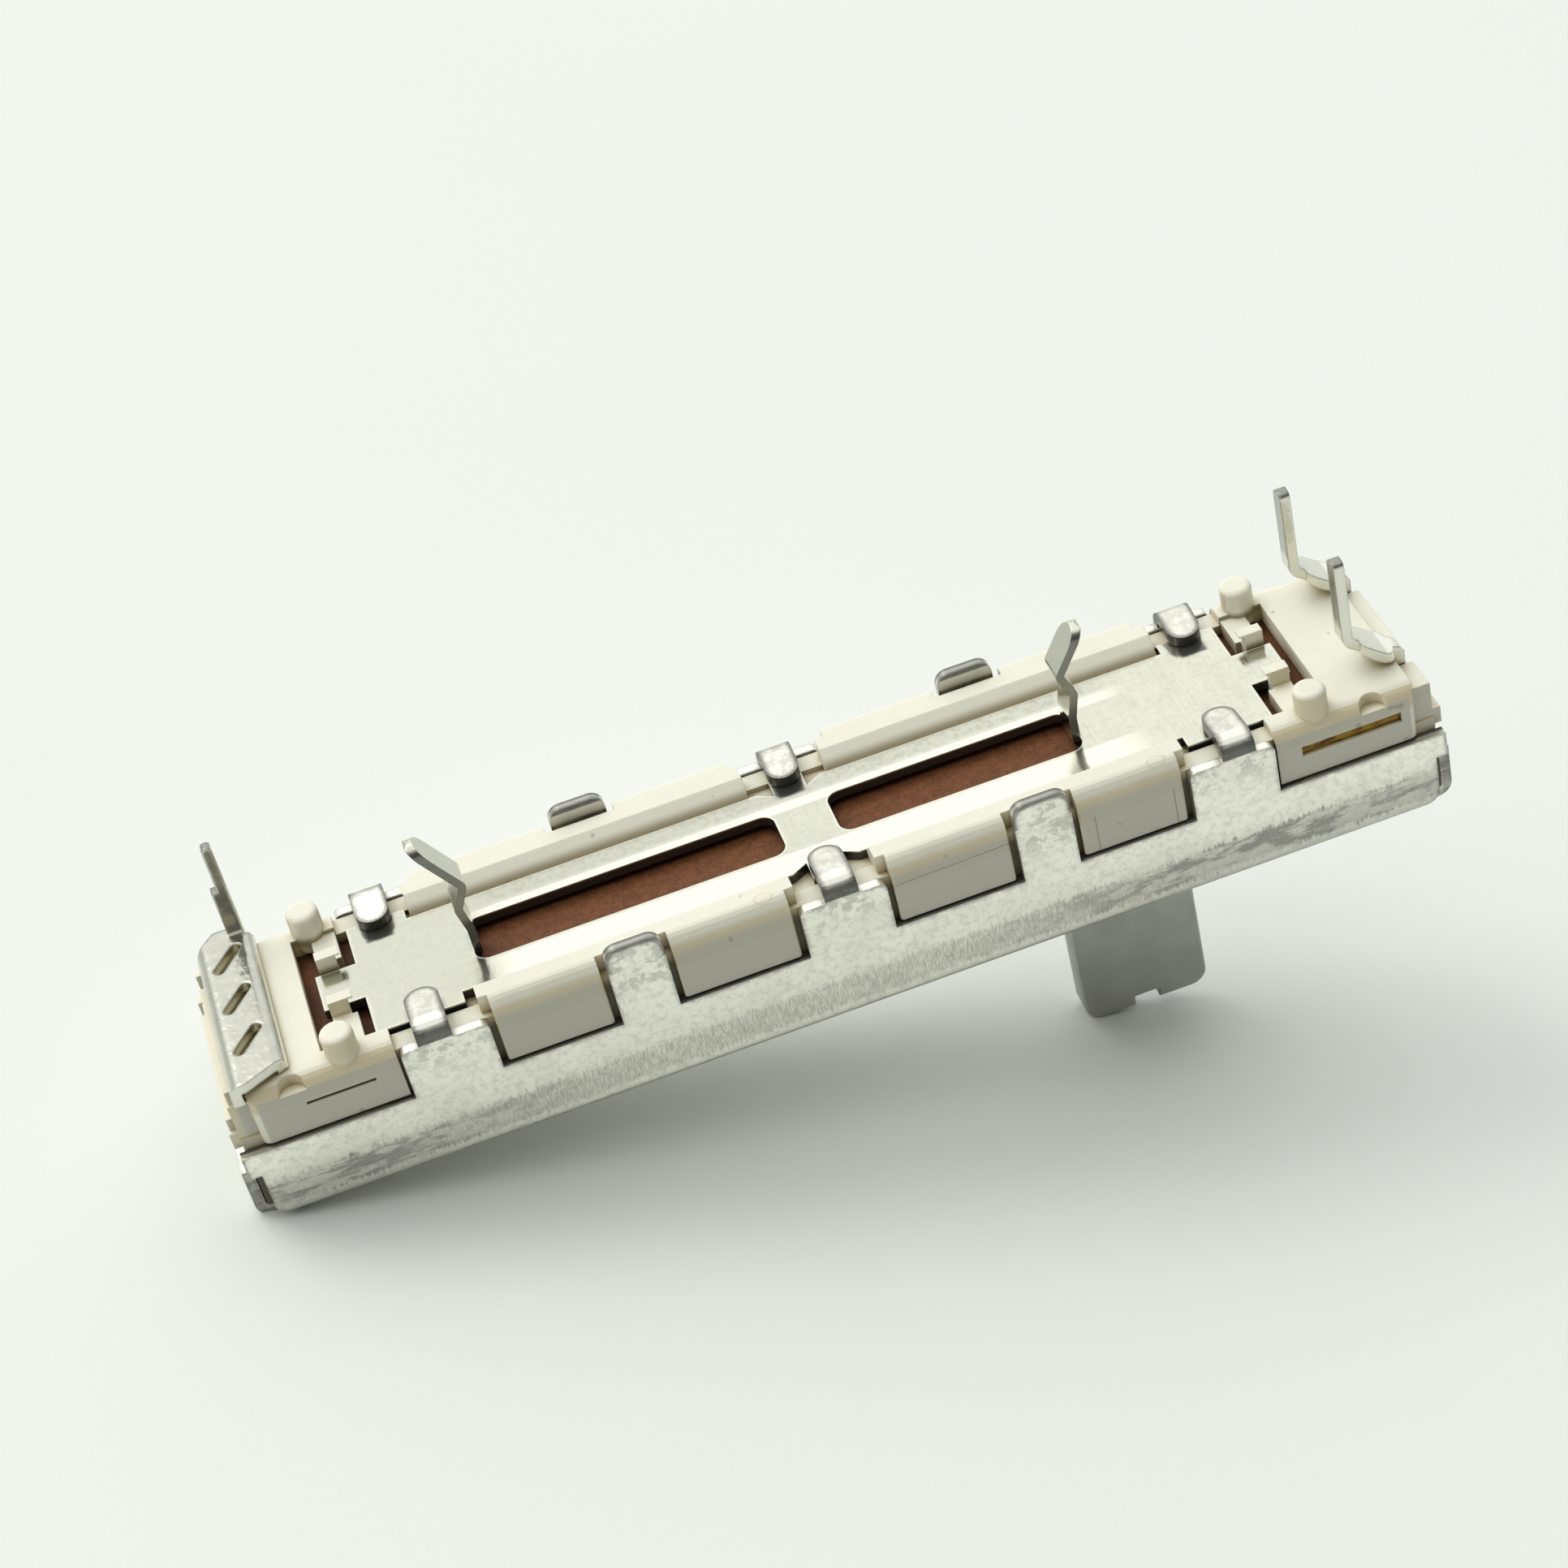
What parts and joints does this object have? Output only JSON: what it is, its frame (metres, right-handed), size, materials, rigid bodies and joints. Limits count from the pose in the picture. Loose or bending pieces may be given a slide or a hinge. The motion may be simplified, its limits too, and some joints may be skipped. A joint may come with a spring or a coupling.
{
  "type": "slide potentiometer",
  "caption": "Slide potentiometer: a folded steel case with clips round a moulded frame, wire-pin terminals, snap-in lugs and a flat lever that slides along a slot.",
  "frame": {"origin": "centre of the case's panel face, on the middle of the lever's slot", "axes": "+X along the travel, towards the end with two terminals; -Z out of the panel face, the way the lever points; +Z towards the terminals"},
  "size_m": [0.0454, 0.0088, 0.0186],
  "materials": {
    "tin_steel": "tin-plated, dull and mottled",
    "bright_steel": "bright",
    "cream_plastic": "moulded, satin",
    "phenolic": "paper laminate",
    "carbon": "printed film",
    "silver_film": "printed film",
    "pin_metal": "tin-plated, shiny",
    "carriage_plastic": "moulded",
    "lever_metal": "satin",
    "spring_brass": "bright"
  },
  "bodies": {
    "housing": {"case": "tin_steel", "frame": "cream_plastic", "bottom_plate": "bright_steel", "resistor_board": "phenolic", "resistive_track": "carbon", "collector_track": "silver_film", "electrode_left": "silver_film", "electrode_right_rear": "silver_film", "electrode_right_front": "silver_film", "terminal_left": "pin_metal", "terminal_right_rear": "pin_metal", "terminal_right_front": "pin_metal"},
    "slider": {"carriage": "carriage_plastic", "lever": "lever_metal", "wiper": "spring_brass"}
  },
  "joints": [
    {"name": "slider_travel", "type": "slide", "parent": "housing", "child": "slider", "axis": [1, 0, 0], "range_m": [-0.02595, 0.00405]}
  ]
}
